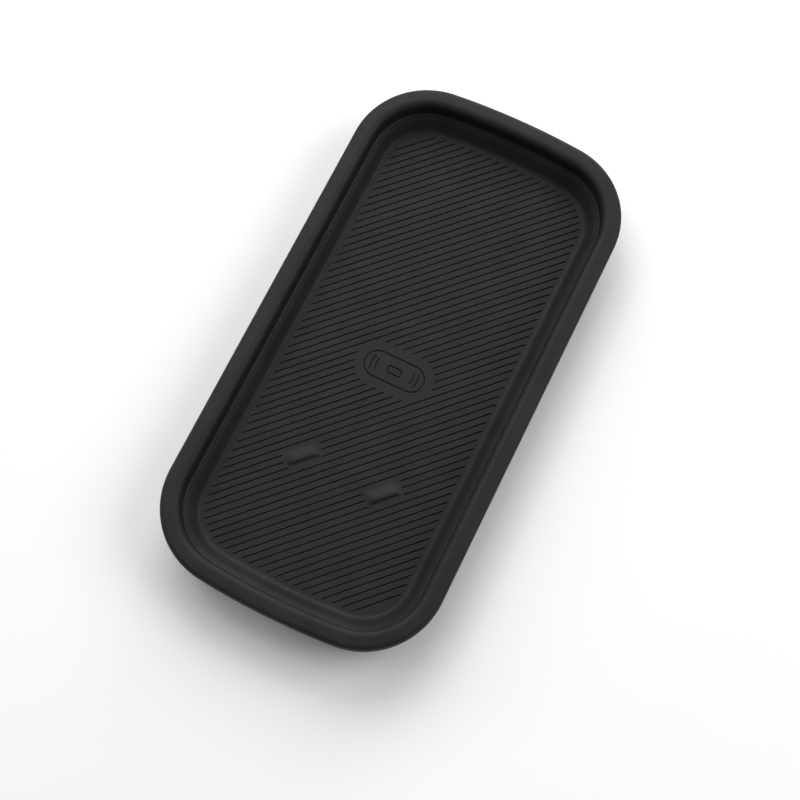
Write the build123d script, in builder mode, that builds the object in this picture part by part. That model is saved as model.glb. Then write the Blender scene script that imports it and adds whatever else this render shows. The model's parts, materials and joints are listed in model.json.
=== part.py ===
from build123d import *

import os
from math import asin, cos, degrees, radians, sin, sqrt

# A wireless charging pad for a phone: a soft tray liner that lifts off a hard two-part housing.
# X runs across the pad, Y along it towards the power inlet, Z up from the table.  Millimetres.

# ---- driving dimensions ----
pad_width = 102.6
pad_length = 200.0
corner_radius = 28.9
end_radius = 270.9  # the two ends bow out slightly
foot_height = 1.0  # the housing stands this far off the table
floor_height = 10.5  # top of the tray floor
skirt_height = 12.5  # lower edge of the liner's outer skirt
parting_height = 9.6  # where the two housing shells meet
liner_thickness = 1.6
liner_gap = 0.3  # between the liner's walls and the housing
shell_wall = 1.6

# ---- groove field and markings on the tray floor ----
groove_pitch = 2.467
groove_width = 0.45
groove_depth = 0.5
groove_angle = 45.54
groove_count = 64  # the two corners along the grooves stay plain
groove_phase = 1.53  # the groove nearest the centre lies this far towards -X +Y
groove_inset = 13.75  # the grooves end this far inside the outline
icon_centre = (0.3, -2.95)
icon_length = 22.6
icon_width = 9.7
icon_line = 0.45
sign_size = (5.1, 2.6)
icon_depth = 0.45
icon_margin = 3.6
nub_places = [(-15.2, -43.8), (16.2, -43.8)]
nub_length = 12.4
nub_width = 6.0
nub_height = 1.25
nub_corner = 1.0

# ---- stack under the deck ----
shell_floor = foot_height + shell_wall
deck_thickness = 1.5
deck_top = floor_height - liner_thickness
deck_bottom = deck_top - deck_thickness
slab_inset = 16.0  # inside this line every layer is flat
coil_centre_y = icon_centre[1]
coil_width = 53.2
coil_length = 45.2
coil_window_width = 27.5
coil_window_length = 19.5
coil_thickness = 1.2
coil_pitch = 24.6
coil_corner = 20.0  # of the outermost turn
coil_turns = 11
shield_thickness = 0.6
ferrite_thickness = 1.5
ferrite_width = 58.0
ferrite_length = 98.0
carrier_width = 65.0
carrier_length = 105.0
play = 0.2  # between stacked inner pieces

# ---- board, inlet and fasteners ----
board_thickness = 1.0
board_width = 58.0
board_low_y = 52.0
board_high_y = 93.0
board_bottom = shell_floor + 1.0
board_top = board_bottom + board_thickness
port_height = 5.6
port_width = 8.94
port_thickness = 3.2
port_depth = 7.3
housing_screw_places = [(34, -72), (-34, -72), (34, 72), (-34, 72), (39.5, -3), (-39.5, -3)]
board_screw_places = [(25, 56.5), (-25, 56.5), (20, 87), (-20, 87)]
foot_places = {
    "foot_front_left": (-34, -72),
    "foot_front_right": (34, -72),
    "foot_rear_left": (-34, 72),
    "foot_rear_right": (34, 72),
}
foot_length = 20.0
foot_width = 10.0
foot_recess = 0.8

# ---- outline of the pad, shared by every shell ----
half_width = pad_width / 2
half_length = pad_length / 2
end_centre_y = half_length - end_radius
corner_x = half_width - corner_radius
corner_y = end_centre_y + sqrt((end_radius - corner_radius) ** 2 - corner_x**2)
end_angle = degrees(asin(corner_x / (end_radius - corner_radius)))
corner_angle = 90 - end_angle


def outline(height, inset):
    """The pad's closed outline, drawn inside its widest line by the inset, at one height."""
    with BuildSketch(Plane.XY.offset(height)) as shape:
        with BuildLine():
            Line((half_width - inset, 0), (half_width - inset, corner_y))
            CenterArc((corner_x, corner_y), corner_radius - inset, 0, corner_angle)
            CenterArc((0, end_centre_y), end_radius - inset, corner_angle, end_angle)
            mirror(about=Plane.YZ)
            mirror(about=Plane.XZ)
        make_face()
    return shape.sketch


def section(corners):
    """A closed wall section: each corner is (inset from the outline, height, fillet radius)."""
    points = [(inset, height) for inset, height, fillet_radius in corners]
    radii = [fillet_radius for inset, height, fillet_radius in corners]
    with BuildSketch() as shape:
        with BuildLine():
            FilletPolyline(*points, radius=radii, close=True)
        make_face()
    return shape.sketch


def carried_round(wall):
    """A wall section carried once round the outline: straight sides, corner arcs and end arcs."""
    side = Plane((half_width, 0, 0), x_dir=(-1, 0, 0), z_dir=(0, 1, 0))
    corner = Plane((half_width, corner_y, 0), x_dir=(-1, 0, 0), z_dir=(0, 1, 0))
    out = (sin(radians(end_angle)), cos(radians(end_angle)))
    end = Plane(
        (end_radius * out[0], end_centre_y + end_radius * out[1], 0),
        x_dir=(-out[0], -out[1], 0),
        z_dir=(-out[1], out[0], 0),
    )
    with BuildPart() as ring:
        with BuildSketch(side):
            add(wall)
        extrude(amount=corner_y)
        with BuildSketch(corner):
            add(wall)
        revolve(axis=Axis((corner_x, corner_y, 0), (0, 0, 1)), revolution_arc=corner_angle)
        with BuildSketch(end):
            add(wall)
        revolve(axis=Axis((0, end_centre_y, 0), (0, 0, 1)), revolution_arc=end_angle)
        mirror(about=Plane.YZ)
        mirror(about=Plane.XZ)
    return ring.part


os.makedirs("parts", exist_ok=True)


def write(name, part):
    """Labels a finished piece and writes its STEP file."""
    part.label = name
    export_step(part, f"parts/{name}.step")


# ---- wall sections ----
# The liner's visible line runs up the skirt, over the rolled rim, down the first wall to a
# ledge with a fine step in it, over a shoulder, and down the second wall to the floor.
rim_top = 21.8
crest = (6.85, 22.35)
ledge_start = (7.1, 16.25)
step_top = (8.1, 15.6)
step_foot = (8.25, 15.3)
shoulder = (9.0, 14.75)
floor_edge = (11.8, floor_height)


def under(corner, depth):
    """The same corner on a surface that lies inside the visible one by the depth."""
    return corner[0] - depth, corner[1] - depth


skirt_inner = liner_thickness + 0.4
liner_section = section(
    [
        (0.9, skirt_height, 0.4),
        (0, skirt_height + 5.0, 10.0),
        (0, rim_top, 1.9),
        (*crest, 2.4),
        (*ledge_start, 0.7),
        (*step_top, 0.5),
        (*step_foot, 0.5),
        (*shoulder, 4.0),
        (*floor_edge, 2.5),
        (slab_inset, floor_height, 0),
        (slab_inset, deck_top, 0),
        (*under(floor_edge, liner_thickness), 0.6),
        (*under(shoulder, liner_thickness), 0.6),
        (*under(ledge_start, liner_thickness), 0.4),
        (*under(crest, liner_thickness), 0.5),
        (skirt_inner, rim_top - liner_thickness, 1.2),
        (skirt_inner, skirt_height, 0.3),
    ]
)

upstand_depth = liner_thickness + liner_gap
shell_outer = skirt_inner + liner_gap
shell_inner = shell_outer + shell_wall
upper_shell_section = section(
    [
        (shell_outer, parting_height, 0),
        (shell_outer, rim_top - upstand_depth, 1.0),
        (*under(crest, upstand_depth), 0.5),
        (*under(ledge_start, upstand_depth), 0.5),
        (*under(shoulder, upstand_depth), 0.8),
        (floor_edge[0] - upstand_depth, deck_top, 0.3),
        (slab_inset, deck_top, 0),
        (slab_inset, deck_bottom, 0),
        (floor_edge[0] - upstand_depth - shell_wall, deck_bottom, 0.5),
        (shoulder[0] - upstand_depth - shell_wall, parting_height + 3.0, 0.5),
        (shell_inner, parting_height + 3.4, 0.5),
        (shell_inner, parting_height, 0),
    ]
)

lower_shell_section = section(
    [
        (shell_outer, parting_height, 0),
        (shell_outer + 0.3, foot_height + 2.6, 3.0),
        (shell_outer + 3.4, foot_height, 2.5),
        (slab_inset, foot_height, 0),
        (slab_inset, shell_floor, 0),
        (shell_inner + 3.0, shell_floor, 1.5),
        (shell_inner + 0.3, foot_height + 3.8, 2.0),
        (shell_inner, parting_height, 0),
    ]
)


# ---- tray liner ----
def groove_field():
    """The slanting grip grooves, leaving room along the wall and round the icon and the nubs."""
    first = groove_phase - groove_count / 2 * groove_pitch
    with BuildSketch(Plane.XY.offset(floor_height)) as field:
        with Locations(Location((0, 0, 0), (0, 0, groove_angle))):
            for index in range(groove_count):
                with Locations((0, first + index * groove_pitch)):
                    Rectangle(pad_width + pad_length, groove_width)
        add(outline(floor_height, groove_inset), mode=Mode.INTERSECT)
        with Locations(icon_centre):
            SlotOverall(
                icon_length + 2 * icon_margin, icon_width + 2 * icon_margin, mode=Mode.SUBTRACT
            )
        for place in nub_places:
            with Locations(Location((*place, 0), (0, 0, groove_angle))):
                clear = (nub_length + 1.2, nub_width + 1.2)
                RectangleRounded(*clear, nub_corner + 0.6, mode=Mode.SUBTRACT)
    return field.sketch


def icon_lines():
    """A generic charging sign: a long oval, a small phone in it and two waves at each end."""
    with BuildSketch(Plane.XY.offset(floor_height)) as icon:
        with Locations(icon_centre):
            SlotOverall(icon_length, icon_width)
            SlotOverall(icon_length - 2 * icon_line, icon_width - 2 * icon_line, mode=Mode.SUBTRACT)
            Rectangle(*sign_size)
            Rectangle(*(side - 2 * icon_line for side in sign_size), mode=Mode.SUBTRACT)
        for direction in (0, 180):
            with Locations(Location((*icon_centre, 0), (0, 0, direction))):
                for radius, half_sweep in ((7.0, 15), (8.8, 16)):
                    with BuildLine(mode=Mode.PRIVATE) as wave:
                        CenterArc((0, 0), radius, -half_sweep, 2 * half_sweep)
                    add(trace(wave.line, line_width=icon_line, mode=Mode.PRIVATE))
    return icon.sketch


def nub():
    """A raised rest lying along the grooves: a steep straight face towards +X -Y, and a back that
    slopes away."""
    half = nub_width / 2
    foot = -0.4
    across = Plane((-nub_length / 2, 0, 0), x_dir=(0, 1, 0), z_dir=(1, 0, 0))
    lengthwise = Plane((0, half, 0), x_dir=(1, 0, 0), z_dir=(0, -1, 0))
    with BuildPart() as rest:
        with BuildSketch(across):
            with BuildLine():
                FilletPolyline(
                    (-half, foot),
                    (-half + 1.1, nub_height),
                    (-half + 1.8, nub_height),
                    (half, foot),
                    radius=[0, 0.5, 0.8, 0],
                    close=True,
                )
            make_face()
        extrude(amount=nub_length)
        with BuildSketch(lengthwise):
            with BuildLine():
                ThreePointArc((-nub_length / 2, foot), (0, nub_height), (nub_length / 2, foot))
                Line((nub_length / 2, foot), (-nub_length / 2, foot))
            make_face()
        extrude(amount=nub_width, mode=Mode.INTERSECT)
        with BuildSketch(Plane.XY.offset(foot)):
            RectangleRounded(nub_length, nub_width, nub_corner)
        extrude(amount=nub_height - foot, mode=Mode.INTERSECT)
    return rest.part


with BuildPart() as tray_liner:
    add(carried_round(liner_section))
    extrude(outline(deck_top, slab_inset), amount=floor_height - deck_top)
    for place in nub_places:
        with Locations(Location((*place, floor_height), (0, 0, groove_angle))):
            add(nub())
    extrude(groove_field(), amount=-groove_depth, mode=Mode.SUBTRACT)
    extrude(icon_lines(), amount=-icon_depth, mode=Mode.SUBTRACT)
write("tray_liner", tray_liner.part)


# ---- upper housing ----
boss_radius = 2.6
boss_bottom = shell_floor + 2.0
pilot_radius = 0.9
with BuildPart() as upper_housing:
    add(carried_round(upper_shell_section))
    extrude(outline(deck_bottom, slab_inset), amount=deck_thickness)
    with BuildSketch(Plane.XY.offset(boss_bottom)):
        with Locations(*housing_screw_places):
            Circle(boss_radius)
    extrude(amount=deck_bottom - boss_bottom)
    with BuildSketch(Plane.XY.offset(boss_bottom)):
        with Locations(*housing_screw_places):
            Circle(pilot_radius)
    extrude(amount=deck_top - 0.7 - boss_bottom, mode=Mode.SUBTRACT)
write("upper_housing", upper_housing.part)


# ---- lower housing ----
well_radius = 3.4
head_radius = 2.1
head_height = 1.2
head_seat = foot_height + 2.4
shank_radius = 1.1
board_post_radius = 2.4
board_pilot_radius = 0.75
light_x = 11.0
light_radius = 1.0
wall_cut = 14.0  # reaches from the open air through the end wall
with BuildPart() as lower_housing:
    add(carried_round(lower_shell_section))
    extrude(outline(foot_height, slab_inset), amount=shell_wall)
    with BuildSketch(Plane.XY.offset(foot_height)):
        with Locations(*housing_screw_places):
            Circle(well_radius)
    extrude(amount=boss_bottom - foot_height)
    with BuildSketch(Plane.XY.offset(shell_floor)):
        with Locations(*board_screw_places):
            Circle(board_post_radius)
    extrude(amount=board_bottom - shell_floor)
    with BuildSketch(Plane.XY.offset(foot_height)):
        with Locations(*foot_places.values()):
            SlotOverall(foot_length + 0.4, foot_width + 0.4, rotation=90)
    extrude(amount=foot_recess, mode=Mode.SUBTRACT)
    with BuildSketch(Plane.XY.offset(foot_height)):
        with Locations(*housing_screw_places):
            Circle(head_radius + 0.2)
    extrude(amount=head_seat - foot_height, mode=Mode.SUBTRACT)
    with BuildSketch(Plane.XY.offset(foot_height)):
        with Locations(*housing_screw_places):
            Circle(shank_radius + 0.15)
    extrude(amount=boss_bottom - foot_height, mode=Mode.SUBTRACT)
    with BuildSketch(Plane.XY.offset(board_bottom)):
        with Locations(*board_screw_places):
            Circle(board_pilot_radius)
    extrude(amount=-2.0, mode=Mode.SUBTRACT)
    with BuildSketch(Plane.XZ.offset(-half_length)):
        with Locations((0, port_height)):
            SlotOverall(port_width + 0.5, port_thickness + 0.5)
        with Locations((light_x, port_height)):
            Circle(light_radius)
    extrude(amount=wall_cut, mode=Mode.SUBTRACT)
write("lower_housing", lower_housing.part)


# ---- screws and feet ----
def screws(places, seat, head, shank, length, recess):
    """Pan-head screws with their heads below the seat height, thread upwards for the housing
    (positive length) or downwards for the board (negative length)."""
    head_r, head_h = head
    way = 1 if length > 0 else -1
    with BuildPart() as group:
        with BuildSketch(Plane.XY.offset(seat)):
            with Locations(*places):
                Circle(head_r)
        extrude(amount=-way * head_h)
        with BuildSketch(Plane.XY.offset(seat)):
            with Locations(*places):
                Circle(shank)
        extrude(amount=length)
        with BuildSketch(Plane.XY.offset(seat - way * head_h)):
            with Locations(*places):
                Rectangle(recess * 4, recess)
                Rectangle(recess, recess * 4)
        extrude(amount=way * head_h * 0.6, mode=Mode.SUBTRACT)
    return group.part


write(
    "housing_screws",
    screws(
        housing_screw_places,
        head_seat,
        (head_radius, head_height),
        pilot_radius,
        deck_top - 1.0 - head_seat,
        0.5,
    ),
)
write(
    "board_screws",
    screws(board_screw_places, board_top, (1.7, 1.0), board_pilot_radius, -2.6, 0.4),
)

for name, place in foot_places.items():
    with BuildPart() as foot:
        with BuildSketch(Plane((place[0], place[1], 0))):
            SlotOverall(foot_length, foot_width, rotation=90)
        extrude(amount=foot_height + foot_recess)
        fillet(foot.edges().group_by(Axis.Z)[0], 0.4)
    write(name, foot.part)


# ---- shield, ferrite, coils and their carrier ----
coil_y = {
    "charging_coil_front": coil_centre_y - coil_pitch,
    "charging_coil_middle": coil_centre_y,
    "charging_coil_rear": coil_centre_y + coil_pitch,
}
ferrite_bottom = shell_floor + shield_thickness
coil_level = ferrite_bottom + ferrite_thickness
coil_bottom = {
    "charging_coil_front": coil_level,
    "charging_coil_middle": coil_level + coil_thickness,
    "charging_coil_rear": coil_level,
}
coil_pack_top = coil_level + 2 * coil_thickness

with BuildPart() as shield_plate:
    with BuildSketch(Plane((0, coil_centre_y, shell_floor))):
        RectangleRounded(ferrite_width, ferrite_length, 3.0)
    extrude(amount=shield_thickness)
write("shield_plate", shield_plate.part)

with BuildPart() as ferrite_plate:
    with BuildSketch(Plane((0, coil_centre_y, ferrite_bottom))):
        RectangleRounded(ferrite_width, ferrite_length, 3.0)
    extrude(amount=ferrite_thickness)
write("ferrite_plate", ferrite_plate.part)


def coil(centre_y, bottom):
    """A flat wound coil: a rounded ring whose top shows the turns as concentric furrows."""
    band = (coil_width - coil_window_width) / 2
    step = band / coil_turns
    furrow = 0.08
    with BuildPart() as winding:
        with BuildSketch(Plane((0, centre_y, bottom))):
            RectangleRounded(coil_width, coil_length, coil_corner)
            RectangleRounded(
                coil_window_width, coil_window_length, coil_corner - band, mode=Mode.SUBTRACT
            )
        extrude(amount=coil_thickness)
        with BuildSketch(Plane((0, centre_y, bottom + coil_thickness))):
            for turn in range(1, coil_turns):
                for side, mode in ((-furrow, Mode.ADD), (furrow, Mode.SUBTRACT)):
                    shrink = turn * step + side
                    RectangleRounded(
                        coil_width - 2 * shrink,
                        coil_length - 2 * shrink,
                        coil_corner - shrink,
                        mode=mode,
                    )
        extrude(amount=-0.25, mode=Mode.SUBTRACT)
    return winding.part


for name, centre_y in coil_y.items():
    write(name, coil(centre_y, coil_bottom[name]))

with BuildPart() as coil_carrier:
    with BuildSketch(Plane((0, coil_centre_y, shell_floor))):
        RectangleRounded(carrier_width, carrier_length, 5.0)
        RectangleRounded(ferrite_width + play, ferrite_length + play, 3.0, mode=Mode.SUBTRACT)
    extrude(amount=coil_pack_top - shell_floor)
    with BuildSketch(Plane((0, coil_centre_y + carrier_length / 2, coil_level))):
        Rectangle(30, 8)
    extrude(amount=coil_pack_top - coil_level, mode=Mode.SUBTRACT)
write("coil_carrier", coil_carrier.part)

thermistor_radius = 1.1
with BuildPart() as coil_thermistor:
    with BuildSketch(Plane((0, coil_centre_y, coil_level + coil_thickness))):
        Circle(thermistor_radius)
    extrude(amount=coil_thickness)
    fillet(coil_thermistor.edges().group_by(Axis.Z)[-1], 0.5)
write("coil_thermistor", coil_thermistor.part)


# ---- coil leads ----
lead_radius = 0.5
lead_height = coil_level + lead_radius + 0.05
lead_start_y = coil_centre_y + coil_pitch + coil_length / 2
lead_end = (board_low_y + 3.0, board_top + lead_radius)
with BuildPart() as coil_leads:
    for lead_x in (-10.5, -6.3, -2.1, 2.1, 6.3, 10.5):
        with BuildLine():
            FilletPolyline(
                (lead_x, lead_start_y, lead_height),
                (lead_x, lead_start_y + 3.5, lead_height),
                (lead_x, lead_end[0] - 3.5, lead_end[1]),
                (lead_x, *lead_end),
                radius=4.0,
            )
        with BuildSketch(Plane((lead_x, lead_start_y, lead_height), z_dir=(0, 1, 0))):
            Circle(lead_radius)
        sweep()
write("coil_leads", coil_leads.part)


# ---- circuit board ----
notch_width = port_width + 0.4
port_back_y = half_length - 3.0 - port_depth
with BuildPart() as main_circuit_board:
    with BuildSketch(Plane.XY.offset(board_bottom)) as board_shape:
        with Locations((0, (board_low_y + board_high_y) / 2)):
            Rectangle(board_width, board_high_y - board_low_y)
        chamfer(board_shape.vertices().group_by(Axis.Y)[-1], 9.0)
        fillet(board_shape.vertices().group_by(Axis.Y)[0], 1.5)
        with Locations((0, board_high_y)):
            Rectangle(notch_width, 2 * (board_high_y - port_back_y + 0.2), mode=Mode.SUBTRACT)
        with Locations(*board_screw_places):
            Circle(board_pilot_radius + 0.3, mode=Mode.SUBTRACT)
    extrude(amount=board_thickness)
write("main_circuit_board", main_circuit_board.part)


def chips(places, size, height, corner):
    """Boxes with slightly broken corners standing on the board, one per place."""
    with BuildPart() as group:
        with BuildSketch(Plane.XY.offset(board_top)):
            with Locations(*places):
                RectangleRounded(size[0], size[1], corner)
        extrude(amount=height)
    return group.part


write("controller_chip", chips([(-9, 66)], (7.0, 7.0), 0.9, 0.3))
write("gate_driver_chip", chips([(9, 66)], (5.0, 5.0), 0.9, 0.3))
write("inverter_transistors", chips([(15, 74), (21, 74), (15, 81), (21, 81)], (5.0, 6.0), 1.0, 0.2))
write("coil_selector_transistors", chips([(-12, 59), (12, 59), (18.5, 61.5)], (3.4, 3.4), 0.9, 0.2))
write(
    "resonant_capacitors",
    chips([(-23.5, 71.5), (-19.3, 71.5), (-23.5, 76.0), (-19.3, 76.0)], (3.2, 2.5), 1.8, 0.15),
)
write("input_capacitors", chips([(-9.5, 80), (-9.5, 84), (9.5, 84)], (3.2, 1.6), 1.4, 0.12))
write("power_inductor", chips([(0.5, 77)], (7.0, 6.8), 2.4, 1.0))
write("clock_crystal", chips([(-16.5, 65)], (3.2, 2.5), 0.7, 0.25))
write("status_led", chips([(light_x, board_high_y - 3.0)], (1.6, 1.2), 0.6, 0.1))

with BuildPart() as board_thermal_pad:
    with BuildSketch(Plane((15, 77, shell_floor))):
        RectangleRounded(14.0, 13.0, 1.0)
    extrude(amount=board_bottom - shell_floor)
write("board_thermal_pad", board_thermal_pad.part)

with BuildPart() as light_pipe:
    with BuildSketch(Plane.XZ.offset(-(board_high_y - 1.8))):
        with Locations((light_x, port_height)):
            Circle(light_radius)
    extrude(amount=-(half_length - 3.0 - board_high_y + 1.8))
write("light_pipe", light_pipe.part)


# ---- USB-C inlet ----
port_wall = 0.3
tongue_depth = 4.9
tongue_thickness = 0.7
port_back = Plane.XZ.offset(-port_back_y)
with BuildPart() as usb_c_shell:
    with BuildSketch(port_back):
        with Locations((0, port_height)):
            SlotOverall(port_width, port_thickness)
    extrude(amount=-port_depth)
    with BuildSketch(Plane.XZ.offset(-(port_back_y + port_wall))):
        with Locations((0, port_height)):
            SlotOverall(port_width - 2 * port_wall, port_thickness - 2 * port_wall)
    extrude(amount=-port_depth, mode=Mode.SUBTRACT)
write("usb_c_shell", usb_c_shell.part)

with BuildPart() as usb_c_tongue:
    with BuildSketch(Plane.XZ.offset(-(port_back_y + port_wall))):
        with Locations((0, port_height)):
            SlotOverall(port_width - 2 * port_wall, port_thickness - 2 * port_wall)
    extrude(amount=-1.2)
    with BuildSketch(Plane.XZ.offset(-(port_back_y + port_wall + 1.2))):
        with Locations((0, port_height)):
            Rectangle(6.7, tongue_thickness)
    extrude(amount=-tongue_depth)
write("usb_c_tongue", usb_c_tongue.part)

contact_pitch = 0.5
contact_count = 12
contact_thickness = 0.08
contact_y = port_back_y + port_wall + 1.2
with BuildPart() as usb_c_contacts:
    for face in (-1, 1):
        level = port_height + face * (tongue_thickness / 2 + contact_thickness / 2)
        with BuildSketch(Plane((0, contact_y + 2.0, level - contact_thickness / 2))):
            with GridLocations(contact_pitch, 0, contact_count, 1):
                Rectangle(0.25, 4.0)
        extrude(amount=contact_thickness)
write("usb_c_contacts", usb_c_contacts.part)
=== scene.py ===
import json
import math

import bmesh
import bpy
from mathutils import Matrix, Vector
from mathutils.geometry import delaunay_2d_cdt


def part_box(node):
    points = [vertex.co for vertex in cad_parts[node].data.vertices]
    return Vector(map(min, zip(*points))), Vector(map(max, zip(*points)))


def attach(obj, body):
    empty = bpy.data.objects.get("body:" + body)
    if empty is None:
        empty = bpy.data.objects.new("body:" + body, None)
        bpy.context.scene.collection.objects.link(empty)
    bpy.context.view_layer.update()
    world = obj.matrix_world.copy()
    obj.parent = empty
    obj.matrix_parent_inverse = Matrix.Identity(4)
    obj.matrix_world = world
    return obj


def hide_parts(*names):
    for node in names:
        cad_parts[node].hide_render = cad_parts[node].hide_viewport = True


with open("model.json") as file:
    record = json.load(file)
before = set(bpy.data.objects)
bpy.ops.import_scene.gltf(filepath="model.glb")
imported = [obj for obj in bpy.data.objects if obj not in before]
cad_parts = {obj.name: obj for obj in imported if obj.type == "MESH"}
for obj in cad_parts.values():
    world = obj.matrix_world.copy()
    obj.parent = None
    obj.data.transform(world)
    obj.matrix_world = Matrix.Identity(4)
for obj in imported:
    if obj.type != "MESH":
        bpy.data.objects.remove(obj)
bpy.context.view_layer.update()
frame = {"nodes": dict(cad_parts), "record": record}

# Lengths of the tray are worked out in millimetres and turned into metres at the end.
MM = 0.001
liner_low, liner_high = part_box("tray_liner")

# ---- outline: straight sides, corner arcs and slightly bowed ends ----
half_width = liner_high[0] / MM
half_length = liner_high[1] / MM
corner_radius = 28.9
end_radius = 270.9
end_centre_y = half_length - end_radius
corner_x = half_width - corner_radius
corner_y = end_centre_y + math.sqrt((end_radius - corner_radius) ** 2 - corner_x**2)
end_angle = math.asin(corner_x / (end_radius - corner_radius))
corner_angle = math.pi / 2 - end_angle

# ---- wall section: a corner is (inset from the outline, height above the table) ----
floor_height = 10.5
skirt_height = 12.5
liner_thickness = 1.6
skirt_inner = liner_thickness + 0.4
under_height = floor_height - liner_thickness
slab_inset = 16.0
floor_start = 13.2
rim_top = 21.8
crest = (6.85, 22.35)
ledge_start = (7.1, 16.25)
step_top = (8.1, 15.6)
step_foot = (8.25, 15.3)
shoulder = (9.0, 14.75)
floor_edge = (11.8, floor_height)

# ---- groove field and markings ----
groove_pitch = 2.467
groove_width = 0.45
groove_depth = 0.5
groove_angle = math.radians(45.54)
groove_count = 64
groove_phase = 1.53
groove_inset = 13.75
icon_centre = (0.3, -2.95)
icon_half_length = 11.3
icon_half_width = 4.85
icon_line = 0.45
icon_depth = 0.45
icon_margin = 3.6
sign_half = (2.55, 1.3)
sign_corner = 0.6
waves = [(7.0, math.radians(15)), (8.8, math.radians(16))]  # radius, half the sweep
nub_places = [(-15.2, -43.8), (16.2, -43.8)]
nub_length = 12.4
nub_width = 6.0
nub_height = 1.25
nub_corner = 1.0
nub_face = 1.2  # how far the steep face reaches in
nub_ridge = 1.1  # where the back starts to fall
nub_clearance = 0.6


# ---- outline and section helpers ----
def outline_stations():
    """Points once round the outline, anticlockwise, each with its outward direction."""
    quarter = []
    side_steps, corner_steps, end_steps = 18, 36, 14
    for step in range(side_steps):
        quarter.append((half_width, corner_y * step / side_steps, 0.0))
    for step in range(corner_steps):
        turn = corner_angle * step / corner_steps
        x = corner_x + corner_radius * math.cos(turn)
        quarter.append((x, corner_y + corner_radius * math.sin(turn), turn))
    for step in range(end_steps):
        turn = corner_angle + end_angle * step / end_steps
        x = end_radius * math.cos(turn)
        quarter.append((x, end_centre_y + end_radius * math.sin(turn), turn))
    right_upper = [(x, y, math.cos(turn), math.sin(turn)) for x, y, turn in quarter]
    top = (0.0, half_length, 0.0, 1.0)
    left_upper = [(-x, y, -nx, ny) for x, y, nx, ny in reversed(right_upper)]
    upper = right_upper + [top] + left_upper
    lower = [(-x, -y, -nx, -ny) for x, y, nx, ny in upper]
    return upper[:-1] + lower[:-1]


def rounded_line(corners, steps=8):
    """An open line of (inset, height) points whose corners are rounded by their fillets."""
    line = [corners[0][:2]]
    for before, here, after in zip(corners, corners[1:], corners[2:]):
        if not here[2]:
            line.append(here[:2])
            continue
        point = Vector(here[:2])
        arrive = (Vector(before[:2]) - point).normalized()
        leave = (Vector(after[:2]) - point).normalized()
        half_turn = arrive.angle(leave) / 2
        reach = here[2] / math.tan(half_turn)
        centre = point + (arrive + leave).normalized() * here[2] / math.sin(half_turn)
        start = point + arrive * reach - centre
        end = point + leave * reach - centre
        sweep = start.angle_signed(end)
        for step in range(steps + 1):
            turn = sweep * step / steps
            cosine, sine = math.cos(-turn), math.sin(-turn)
            x = start.x * cosine - start.y * sine
            y = start.x * sine + start.y * cosine
            line.append((centre.x + x, centre.y + y))
    line.append(corners[-1][:2])
    return line


def under(corner, depth):
    """The same corner on a surface that lies inside the visible one by the depth."""
    return corner[0] - depth, corner[1] - depth


def smoothstep(low, high, value):
    part = min(max((value - low) / (high - low), 0.0), 1.0)
    return part * part * (3 - 2 * part)


class MeshMaker:
    """Collects vertices in millimetres and faces, and turns them into an object."""

    def __init__(self):
        self.points = []
        self.faces = []

    def loop(self, points):
        start = len(self.points)
        self.points.extend(points)
        return list(range(start, len(self.points)))

    def bridge(self, first, second):
        """Quads between two closed loops with as many points each."""
        count = len(first)
        for index in range(count):
            after = (index + 1) % count
            self.faces.append((first[index], first[after], second[after], second[index]))

    def bridge_all(self, loops):
        for first, second in zip(loops, loops[1:]):
            self.bridge(first, second)

    def cap(self, loop):
        """One face that closes a loop."""
        self.faces.append(tuple(loop))

    def build(self, name, material):
        mesh = bpy.data.meshes.new(name)
        points = [(x * MM, y * MM, z * MM) for x, y, z in self.points]
        mesh.from_pydata(points, [], self.faces)
        shape = bmesh.new()
        shape.from_mesh(mesh)
        bmesh.ops.recalc_face_normals(shape, faces=shape.faces)
        shape.to_mesh(mesh)
        shape.free()
        mesh.shade_smooth()
        mesh.materials.append(material)
        piece = bpy.data.objects.new(name, mesh)
        bpy.context.scene.collection.objects.link(piece)
        return piece


# ---- tray liner ----
def liner_line():
    """The liner's section as one line: from its flat underside out, round the rim, and in.

    Each corner is (inset, height, fillet radius).
    """
    outer = [
        (0.9, skirt_height, 0.4),
        (0, skirt_height + 5.0, 10.0),
        (0, rim_top, 1.9),
        (*crest, 2.4),
        (*ledge_start, 0.7),
        (*step_top, 0.5),
        (*step_foot, 0.5),
        (*shoulder, 4.0),
        (*floor_edge, 2.5),
        (floor_start, floor_height, 0),
    ]
    inner = [
        (slab_inset, under_height, 0),
        (*under(floor_edge, liner_thickness), 0.6),
        (*under(shoulder, liner_thickness), 0.6),
        (*under(ledge_start, liner_thickness), 0.4),
        (*under(crest, liner_thickness), 0.5),
        (skirt_inner, rim_top - liner_thickness, 1.2),
        (skirt_inner, skirt_height, 0.3),
    ]
    return rounded_line(inner + outer)


def in_groove_frame(x, y):
    """Distances along and across the grooves."""
    cosine, sine = math.cos(groove_angle), math.sin(groove_angle)
    return x * cosine + y * sine, -x * sine + y * cosine


def from_groove_frame(along, across):
    cosine, sine = math.cos(groove_angle), math.sin(groove_angle)
    return along * cosine - across * sine, along * sine + across * cosine


def rounded_box_distance(x, y, half, corner):
    """Signed distance to a rounded rectangle about the origin, negative inside."""
    dx = abs(x) - half[0] + corner
    dy = abs(y) - half[1] + corner
    outside = math.hypot(max(dx, 0.0), max(dy, 0.0))
    return outside + min(max(dx, dy), 0.0) - corner


def outline_depth(x, y):
    """How far a point lies inside the outline."""
    x, y = abs(x), abs(y)
    if y < corner_y:
        return half_width - x
    if x * math.tan(corner_angle) > y - end_centre_y:
        return corner_radius - math.hypot(x - corner_x, y - corner_y)
    return end_radius - math.hypot(x, y - end_centre_y)


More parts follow.
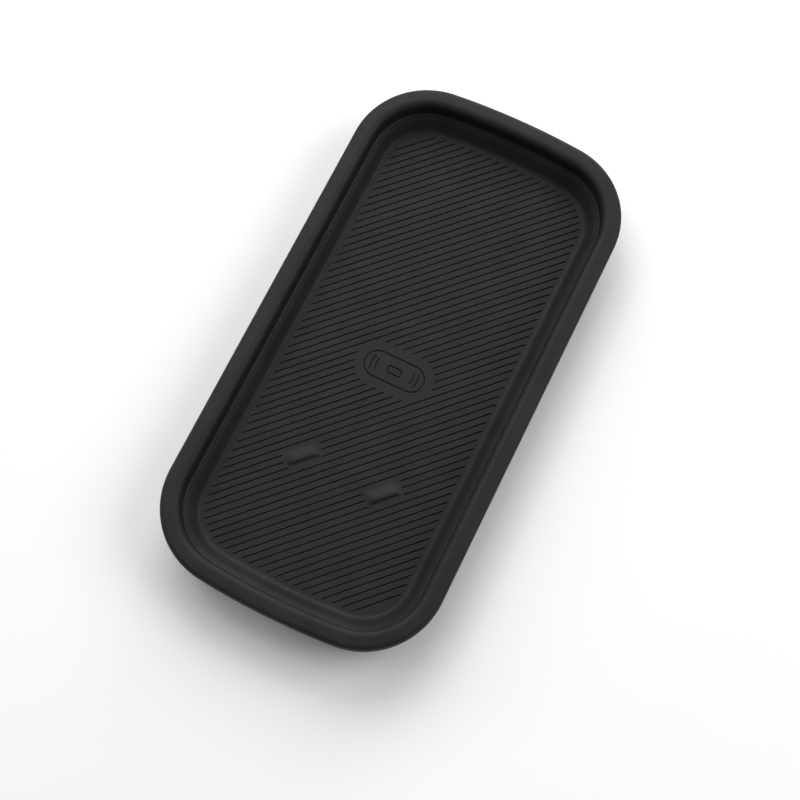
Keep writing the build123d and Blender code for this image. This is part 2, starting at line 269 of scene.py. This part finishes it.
def has_groove(x, y):
    """Whether a groove may pass here: clear of the wall, the icon and the nubs."""
    if outline_depth(x, y) < groove_inset:
        return False
    reach = icon_half_width + icon_margin
    icon_half = (icon_half_length + icon_margin, reach)
    if rounded_box_distance(x - icon_centre[0], y - icon_centre[1], icon_half, reach) < 0:
        return False
    for place in nub_places:
        along, across = in_groove_frame(x - place[0], y - place[1])
        half = (nub_length / 2 + nub_clearance, nub_width / 2 + nub_clearance)
        if rounded_box_distance(along, across, half, nub_corner + nub_clearance) < 0:
            return False
    return True


def groove_runs():
    """Every groove as (start, end, across): the stretches where a groove may pass."""
    reach = math.hypot(half_width, half_length)
    step = 0.05
    runs = []
    for row in range(groove_count):
        across = groove_phase + (row - groove_count / 2) * groove_pitch
        start = None
        for index in range(int(2 * reach / step) + 1):
            along = -reach + index * step
            inside = has_groove(*from_groove_frame(along, across))
            if inside and start is None:
                start = along
            if not inside and start is not None:
                if along - start > 2 * groove_width:
                    runs.append((start, along, across))
                start = None
    return runs


def stadium(start, end, across, radius, steps=6):
    """A closed loop round a straight stretch in the groove frame."""
    loop = []
    for centre, first_turn in ((end, -math.pi / 2), (start, math.pi / 2)):
        for step in range(steps + 1):
            turn = first_turn + math.pi * step / steps
            along = centre + radius * math.cos(turn)
            loop.append(from_groove_frame(along, across + radius * math.sin(turn)))
    return loop


def sunk_profile(width, depth):
    """Half the section of a moulded furrow: (distance from its centre line, depth).

    Two flat rings round it keep the floor's shading level up to its slightly rounded lip.
    """
    half = width / 2
    return [
        (half + 0.22, 0.0),
        (half + 0.12, 0.0),
        (half + 0.05, -0.02),
        (half, -0.08),
        (half - 0.04, -depth * 0.55),
        (half - 0.1, -depth * 0.9),
        (half - 0.17, -depth),
    ]


def add_groove(maker, run):
    """Sinks one groove and returns the loop of its edge, in plan."""
    start, end, across = run
    loops = []
    for distance, depth in sunk_profile(groove_width, groove_depth):
        plan = stadium(start + groove_width / 2, end - groove_width / 2, across, distance)
        loops.append(maker.loop([(x, y, floor_height + depth) for x, y in plan]))
    maker.bridge_all(loops)
    maker.cap(loops[-1])
    return loops[0]


def rounded_box_loop(centre, half, corner, grow, steps=10):
    """A closed loop in plan round a rounded rectangle, grown by a distance."""
    loop = []
    radius = max(corner + grow, 0.02)
    for quarter, (side_x, side_y) in enumerate([(1, 1), (-1, 1), (-1, -1), (1, -1)]):
        for step in range(steps + 1):
            turn = math.pi / 2 * (quarter + step / steps)
            x = centre[0] + side_x * (half[0] - corner) + radius * math.cos(turn)
            y = centre[1] + side_y * (half[1] - corner) + radius * math.sin(turn)
            loop.append((x, y))
    return loop


def add_ring_furrow(maker, half_size, corner):
    """Sinks a furrow round a rounded rectangle and returns its outer and inner edge loops."""
    half = sunk_profile(icon_line, icon_depth)
    profile = half + [(-distance, depth) for distance, depth in reversed(half)]
    loops = []
    for distance, depth in profile:
        plan = rounded_box_loop(icon_centre, half_size, corner, distance)
        loops.append(maker.loop([(x, y, floor_height + depth) for x, y in plan]))
    maker.bridge_all(loops)
    return loops[0], loops[-1]


def arc_stroke(centre, radius, middle, half_sweep, width, steps=10):
    """A closed loop round an arc-shaped stroke with round ends."""
    loop = []
    for side in (1, -1):
        for step in range(steps + 1):
            turn = middle + side * half_sweep * (2 * step / steps - 1)
            reach = radius + side * width
            loop.append((centre[0] + reach * math.cos(turn), centre[1] + reach * math.sin(turn)))
        tip_turn = middle + side * half_sweep
        tip = (centre[0] + radius * math.cos(tip_turn), centre[1] + radius * math.sin(tip_turn))
        for step in range(1, 6):
            turn = tip_turn + (0 if side > 0 else math.pi) + math.pi * step / 6
            loop.append((tip[0] + width * math.cos(turn), tip[1] + width * math.sin(turn)))
    return loop


def add_wave(maker, radius, middle, half_sweep):
    """Sinks one short curved stroke of the icon."""
    loops = []
    for distance, depth in sunk_profile(icon_line, icon_depth):
        plan = arc_stroke(icon_centre, radius, middle, half_sweep, distance)
        loops.append(maker.loop([(x, y, floor_height + depth) for x, y in plan]))
    maker.bridge_all(loops)
    maker.cap(loops[-1])
    return loops[0]


def nub_surface(along, across):
    """Height of a nub: a steep straight face on its -across side, sloping away to the rest."""
    half = nub_width / 2
    taper = max(1 - abs(2 * along / nub_length) ** 2.2, 0.0)
    rise = smoothstep(-half, -half + nub_face, across)
    fall = 1 - smoothstep(-half + nub_ridge, half, across)
    return nub_height * taper * rise * fall


def add_nub(maker, place):
    """Raises one nub from shrinking loops and returns the loop of its foot."""
    loops = []
    rings = 22
    half = (nub_length / 2, nub_width / 2)
    for ring in range(rings + 1):
        shrink = half[1] * ring / rings
        width = max(half[1] - shrink, 0.01)
        corner = min(nub_corner, width)
        loop = rounded_box_loop((0, 0), (half[0] - shrink, width), corner, 0.0, steps=8)
        points = []
        for along, across in loop:
            x, y = from_groove_frame(along, across)
            points.append((place[0] + x, place[1] + y, floor_height + nub_surface(along, across)))
        loops.append(maker.loop(points))
    maker.bridge_all(loops)
    maker.cap(loops[-1])
    return loops[0]


def fill_floor(maker, boundary, holes, islands):
    """Triangles over the flat floor between its boundary and every sunk or raised feature.

    Holes are left open, and the islands inside some of them are filled again.
    """
    loops = [boundary, *holes, *islands]
    flat, ring_of = [], {}
    faces = []
    for loop in loops:
        face = []
        for vertex in loop:
            ring_of[len(flat)] = vertex
            face.append(len(flat))
            flat.append(Vector(maker.points[vertex][:2]))
        faces.append(face)
    inside_constraints = 1
    weld_distance = 1e-5
    result = delaunay_2d_cdt(flat, [], faces, inside_constraints, weld_distance, True)
    triangles, sources, triangle_loops = result[2], result[3], result[5]
    hole_ids = set(range(1, 1 + len(holes)))
    island_ids = set(range(1 + len(holes), len(loops)))
    lookup = [ring_of[source[0]] for source in sources]
    for triangle, owners in zip(triangles, triangle_loops):
        owners = set(owners)
        if len(owners & hole_ids) > len(owners & island_ids):
            continue
        maker.faces.append(tuple(lookup[vertex] for vertex in triangle))


def make_tray(material):
    """The whole liner as one closed mesh."""
    maker = MeshMaker()
    stations = outline_stations()
    loops = []
    for inset, height in liner_line():
        points = []
        for x, y, out_x, out_y in stations:
            points.append((x - out_x * inset, y - out_y * inset, height))
        loops.append(maker.loop(points))
    maker.bridge_all(loops)
    maker.cap(loops[0])
    holes = [add_groove(maker, run) for run in groove_runs()]
    islands = []
    icon_half = (icon_half_length, icon_half_width)
    for half_size, corner in ((icon_half, icon_half_width), (sign_half, sign_corner)):
        outer, inner = add_ring_furrow(maker, half_size, corner)
        holes.append(outer)
        islands.append(inner)
    for middle in (0.0, math.pi):
        for radius, half_sweep in waves:
            holes.append(add_wave(maker, radius, middle, half_sweep))
    for place in nub_places:
        holes.append(add_nub(maker, place))
    fill_floor(maker, loops[-1], holes, islands)
    return maker.build("tray_liner_skin", material)


# ---- materials ----
class Shader:
    """A principled material and short names for the nodes that feed it."""

    def __init__(self, name, colour, roughness, metallic=0.0, specular=0.5):
        self.material = bpy.data.materials.new(name)
        self.material.use_nodes = True
        self.tree = self.material.node_tree
        self.surface = self.tree.nodes["Principled BSDF"]
        self.surface.inputs["Base Color"].default_value = (*colour, 1.0)
        self.surface.inputs["Roughness"].default_value = roughness
        self.surface.inputs["Metallic"].default_value = metallic
        self.surface.inputs["Specular IOR Level"].default_value = specular
        self.place = self.tree.nodes.new("ShaderNodeTexCoord").outputs["Object"]

    def link(self, source, target):
        self.tree.links.new(source, target)

    def noise(self, scale, detail=2.0, stretch=None):
        """Noise with so many grains to the metre; stretch squeezes it along the axes."""
        node = self.tree.nodes.new("ShaderNodeTexNoise")
        node.inputs["Scale"].default_value = scale
        node.inputs["Detail"].default_value = detail
        place = self.place
        if stretch:
            mapping = self.tree.nodes.new("ShaderNodeMapping")
            mapping.inputs["Scale"].default_value = stretch
            self.link(place, mapping.inputs["Vector"])
            place = mapping.outputs["Vector"]
        self.link(place, node.inputs["Vector"])
        return node.outputs["Fac"]

    def cells(self, scale, feature="F1"):
        node = self.tree.nodes.new("ShaderNodeTexVoronoi")
        node.inputs["Scale"].default_value = scale
        node.feature = feature
        self.link(self.place, node.inputs["Vector"])
        return node.outputs["Distance"]

    def spread(self, value, low, high, out_low=0.0, out_high=1.0):
        """The value stretched so that low to high becomes out_low to out_high."""
        node = self.tree.nodes.new("ShaderNodeMapRange")
        node.inputs["From Min"].default_value = low
        node.inputs["From Max"].default_value = high
        node.inputs["To Min"].default_value = out_low
        node.inputs["To Max"].default_value = out_high
        self.link(value, node.inputs["Value"])
        return node.outputs["Result"]

    def mix(self, amount, first, second):
        """A colour that goes from the first to the second; either may be a colour or a socket."""
        node = self.tree.nodes.new("ShaderNodeMix")
        node.data_type = "RGBA"
        self.link(amount, node.inputs["Factor"])
        for socket, colour in (("A", first), ("B", second)):
            target = [i for i in node.inputs if i.name == socket and i.type == "RGBA"][0]
            if isinstance(colour, tuple):
                target.default_value = (*colour, 1.0)
            else:
                self.link(colour, target)
        return [o for o in node.outputs if o.type == "RGBA"][0]

    def colour(self, source):
        self.link(source, self.surface.inputs["Base Color"])

    def roughness(self, source):
        self.link(source, self.surface.inputs["Roughness"])

    def bump(self, height, distance, under=None):
        """Raises the surface by the height times the distance in metres."""
        node = self.tree.nodes.new("ShaderNodeBump")
        node.inputs["Distance"].default_value = distance
        self.link(height, node.inputs["Height"])
        if under:
            self.link(under, node.inputs["Normal"])
        self.link(node.outputs["Normal"], self.surface.inputs["Normal"])
        return node.outputs["Normal"]


def liner_silicone():
    """Soft black silicone: eroded mould finish, faint mottling and a few specks of lint."""
    shader = Shader("liner_silicone", (0.0165, 0.0179, 0.0175), 0.5, specular=0.15)
    mottling = shader.noise(95.0, detail=3.0)
    dark, light = (0.0148, 0.0161, 0.0158), (0.0182, 0.0197, 0.0192)
    base = shader.mix(shader.spread(mottling, 0.35, 0.65), dark, light)
    lint = shader.spread(shader.cells(160.0), 0.035, 0.022)
    rare = shader.spread(shader.noise(210.0, detail=0.0), 0.66, 0.70)
    both = shader.tree.nodes.new("ShaderNodeMath")
    both.operation = "MULTIPLY"
    both.use_clamp = True
    shader.link(lint, both.inputs[0])
    shader.link(rare, both.inputs[1])
    shader.colour(shader.mix(both.outputs["Value"], base, (0.08, 0.08, 0.08)))
    shader.roughness(shader.spread(shader.noise(400.0, detail=3.0), 0.3, 0.7, 0.45, 0.55))
    ripple = shader.bump(shader.noise(120.0, detail=1.0), 0.00004)
    shader.bump(shader.noise(3200.0, detail=2.0), 0.000012, under=ripple)
    return shader.material


def moulded_plastic(name, colour, roughness, grain=2600.0):
    """Moulded plastic with a spark-eroded grain, a little uneven in colour and gloss."""
    shader = Shader(name, colour, roughness)
    darker = tuple(channel * 0.86 for channel in colour)
    lighter = tuple(min(channel * 1.12, 1.0) for channel in colour)
    patches = shader.spread(shader.noise(60.0, detail=3.0), 0.35, 0.65)
    shader.colour(shader.mix(patches, darker, lighter))
    gloss = shader.spread(shader.noise(500.0, detail=2.0), 0.3, 0.7, roughness - 0.06, roughness + 0.06)
    shader.roughness(gloss)
    shader.bump(shader.cells(grain), 0.00002)
    return shader.material


def foot_rubber():
    """Matt foot rubber with fine dust in its pores."""
    shader = Shader("foot_rubber", (0.02, 0.02, 0.021), 0.85, specular=0.3)
    dust = shader.spread(shader.noise(900.0, detail=4.0), 0.52, 0.72)
    shader.colour(shader.mix(dust, (0.017, 0.017, 0.018), (0.035, 0.034, 0.033)))
    shader.roughness(shader.spread(shader.noise(300.0), 0.3, 0.7, 0.78, 0.92))
    shader.bump(shader.noise(4000.0, detail=3.0), 0.00003)
    return shader.material


def brushed_metal(name, colour, roughness, stretch=(40.0, 1.0, 1.0), metallic=0.95):
    """Rolled or turned metal with fine marks along one axis."""
    shader = Shader(name, colour, roughness, metallic=metallic)
    darker = tuple(channel * 0.8 for channel in colour)
    marks = shader.noise(900.0, detail=3.0, stretch=stretch)
    shader.colour(shader.mix(shader.spread(marks, 0.35, 0.65), darker, colour))
    shader.roughness(shader.spread(marks, 0.3, 0.7, roughness - 0.08, roughness + 0.08))
    shader.bump(marks, 0.000004)
    return shader.material


def circuit_laminate():
    """Green solder mask over faint tracks."""
    shader = Shader("board_laminate", (0.02, 0.12, 0.05), 0.32)
    tracks = shader.spread(shader.cells(420.0, feature="DISTANCE_TO_EDGE"), 0.05, 0.08)
    shader.colour(shader.mix(tracks, (0.035, 0.18, 0.08), (0.015, 0.10, 0.045)))
    shader.roughness(shader.spread(shader.noise(700.0), 0.3, 0.7, 0.26, 0.4))
    shader.bump(tracks, 0.00003)
    return shader.material


def sintered(name, colour, roughness):
    """Pressed and fired ceramic: fine dark and light grains."""
    shader = Shader(name, colour, roughness)
    darker = tuple(channel * 0.8 for channel in colour)
    lighter = tuple(min(channel * 1.2, 1.0) for channel in colour)
    shader.colour(shader.mix(shader.spread(shader.noise(1800.0, detail=4.0), 0.4, 0.6), darker, lighter))
    shader.roughness(shader.spread(shader.noise(600.0), 0.3, 0.7, roughness - 0.08, roughness + 0.08))
    shader.bump(shader.noise(2500.0, detail=3.0), 0.00002)
    return shader.material


def clear_acrylic():
    """The light pipe: slightly frosted clear plastic."""
    shader = Shader("light_pipe_acrylic", (0.9, 0.92, 0.95), 0.25)
    shader.surface.inputs["Transmission Weight"].default_value = 0.85
    shader.surface.inputs["IOR"].default_value = 1.49
    shader.roughness(shader.spread(shader.noise(900.0), 0.3, 0.7, 0.2, 0.35))
    shader.bump(shader.noise(2000.0), 0.00001)
    return shader.material


def stage_paper():
    """The pale table top: matt paper, all but even."""
    shader = Shader("stage_paper", (0.95, 0.95, 0.95), 0.9, specular=0.2)
    clouds = shader.spread(shader.noise(12.0), 0.3, 0.7)
    shader.colour(shader.mix(clouds, (0.945, 0.945, 0.945), (0.955, 0.955, 0.955)))
    return shader.material


materials = {
    "liner_silicone": liner_silicone(),
    "housing_plastic": moulded_plastic("housing_plastic", (0.026, 0.027, 0.028), 0.5),
    "foot_rubber": foot_rubber(),
    "screw_steel": brushed_metal("screw_steel", (0.10, 0.10, 0.105), 0.42, metallic=0.9),
    "shield_aluminium": brushed_metal("shield_aluminium", (0.75, 0.76, 0.77), 0.35),
    "ferrite": sintered("ferrite", (0.05, 0.048, 0.05), 0.6),
    "coil_copper": brushed_metal("coil_copper", (0.78, 0.36, 0.16), 0.3, stretch=(1.0, 1.0, 1.0)),
    "carrier_plastic": moulded_plastic("carrier_plastic", (0.70, 0.69, 0.64), 0.55),
    "thermistor_glaze": moulded_plastic("thermistor_glaze", (0.08, 0.16, 0.10), 0.25),
    "board_laminate": circuit_laminate(),
    "chip_package": moulded_plastic("chip_package", (0.03, 0.03, 0.033), 0.6, grain=5000.0),
    "capacitor_ceramic": sintered("capacitor_ceramic", (0.44, 0.30, 0.19), 0.4),
    "inductor_shield": sintered("inductor_shield", (0.12, 0.12, 0.13), 0.65),
    "crystal_can": brushed_metal("crystal_can", (0.72, 0.72, 0.72), 0.22),
    "led_package": moulded_plastic("led_package", (0.85, 0.85, 0.78), 0.2, grain=6000.0),
    "thermal_silicone": moulded_plastic("thermal_silicone", (0.40, 0.46, 0.56), 0.8),
    "light_pipe_acrylic": clear_acrylic(),
    "port_steel": brushed_metal("port_steel", (0.60, 0.60, 0.61), 0.28),
    "port_plastic": moulded_plastic("port_plastic", (0.02, 0.02, 0.02), 0.5, grain=6000.0),
    "contact_gold": brushed_metal("contact_gold", (0.90, 0.64, 0.26), 0.22),
    "stage_paper": stage_paper(),
}


# ---- pieces ----
def dress_cad_nodes():
    """Gives every CAD node the material of its slot in the record."""
    slots = {part["node"]: part["material_slot"] for part in frame["record"]["subparts"]}
    for node, piece in frame["nodes"].items():
        if not piece.material_slots:
            piece.data.materials.append(None)
        for slot in piece.material_slots:
            slot.material = materials[slots[node]]


dress_cad_nodes()
tray = make_tray(materials["liner_silicone"])
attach(tray, "tray")
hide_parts("tray_liner")


# ---- stage, light and camera ----
def make_stage():
    """A pale table top under the pad."""
    half = 8.0
    shape = bmesh.new()
    corners = [(-half, -half, 0), (half, -half, 0), (half, half, 0), (-half, half, 0)]
    shape.faces.new([shape.verts.new(corner) for corner in corners])
    mesh = bpy.data.meshes.new("table_top")
    shape.to_mesh(mesh)
    shape.free()
    mesh.materials.append(materials["stage_paper"])
    table = bpy.data.objects.new("table_top", mesh)
    bpy.context.scene.collection.objects.link(table)


def add_softbox(name, azimuth, elevation, size, power):
    """A square light aimed at the pad; azimuth 0 is +X, 90 the inlet end."""
    distance = 1.5
    light = bpy.data.lights.new(name, "AREA")
    light.shape = "SQUARE"
    light.size = size
    light.energy = power
    lamp = bpy.data.objects.new(name, light)
    turn, rise = math.radians(azimuth), math.radians(elevation)
    flat = distance * math.cos(rise)
    lamp.location = (flat * math.cos(turn), flat * math.sin(turn), distance * math.sin(rise))
    lamp.rotation_euler = (-Vector(lamp.location)).to_track_quat("-Z", "Y").to_euler()
    bpy.context.scene.collection.objects.link(lamp)


def light_scene():
    """Soft light, most of it from beyond the far end of the pad."""
    # name: (azimuth, elevation, side in metres, watts)
    softboxes = {
        "low_far": (90, 16, 0.75, 5.6),
        "low_left": (180, 16, 0.75, 2.75),
        "far_right": (30, 42, 0.9, 9.4),
        "far_middle": (110, 42, 0.9, 8.8),
        "far_left": (145, 42, 0.9, 6.0),
        "top_left": (180, 68, 0.9, 4.2),
    }
    for name, (azimuth, elevation, size, power) in softboxes.items():
        add_softbox(name, azimuth, elevation, size, power)
    world = bpy.data.worlds.new("studio")
    world.use_nodes = True
    world.node_tree.nodes["Background"].inputs["Color"].default_value = (1, 1, 1, 1)
    world.node_tree.nodes["Background"].inputs["Strength"].default_value = 0.2
    bpy.context.scene.world = world


def place_camera():
    """Looks down on the pad from beyond its near end and a little to the right."""
    lens = bpy.data.cameras.new("camera")
    lens.sensor_width = 36.0
    lens.lens = 65.68
    camera = bpy.data.objects.new("camera", lens)
    camera.location = (0.06816, -0.13616, 0.50323)
    camera.rotation_euler = (math.radians(15.754), 0.0, math.radians(26.214))
    bpy.context.scene.collection.objects.link(camera)
    bpy.context.scene.camera = camera


make_stage()
light_scene()
place_camera()
bpy.context.scene.view_settings.view_transform = "Standard"
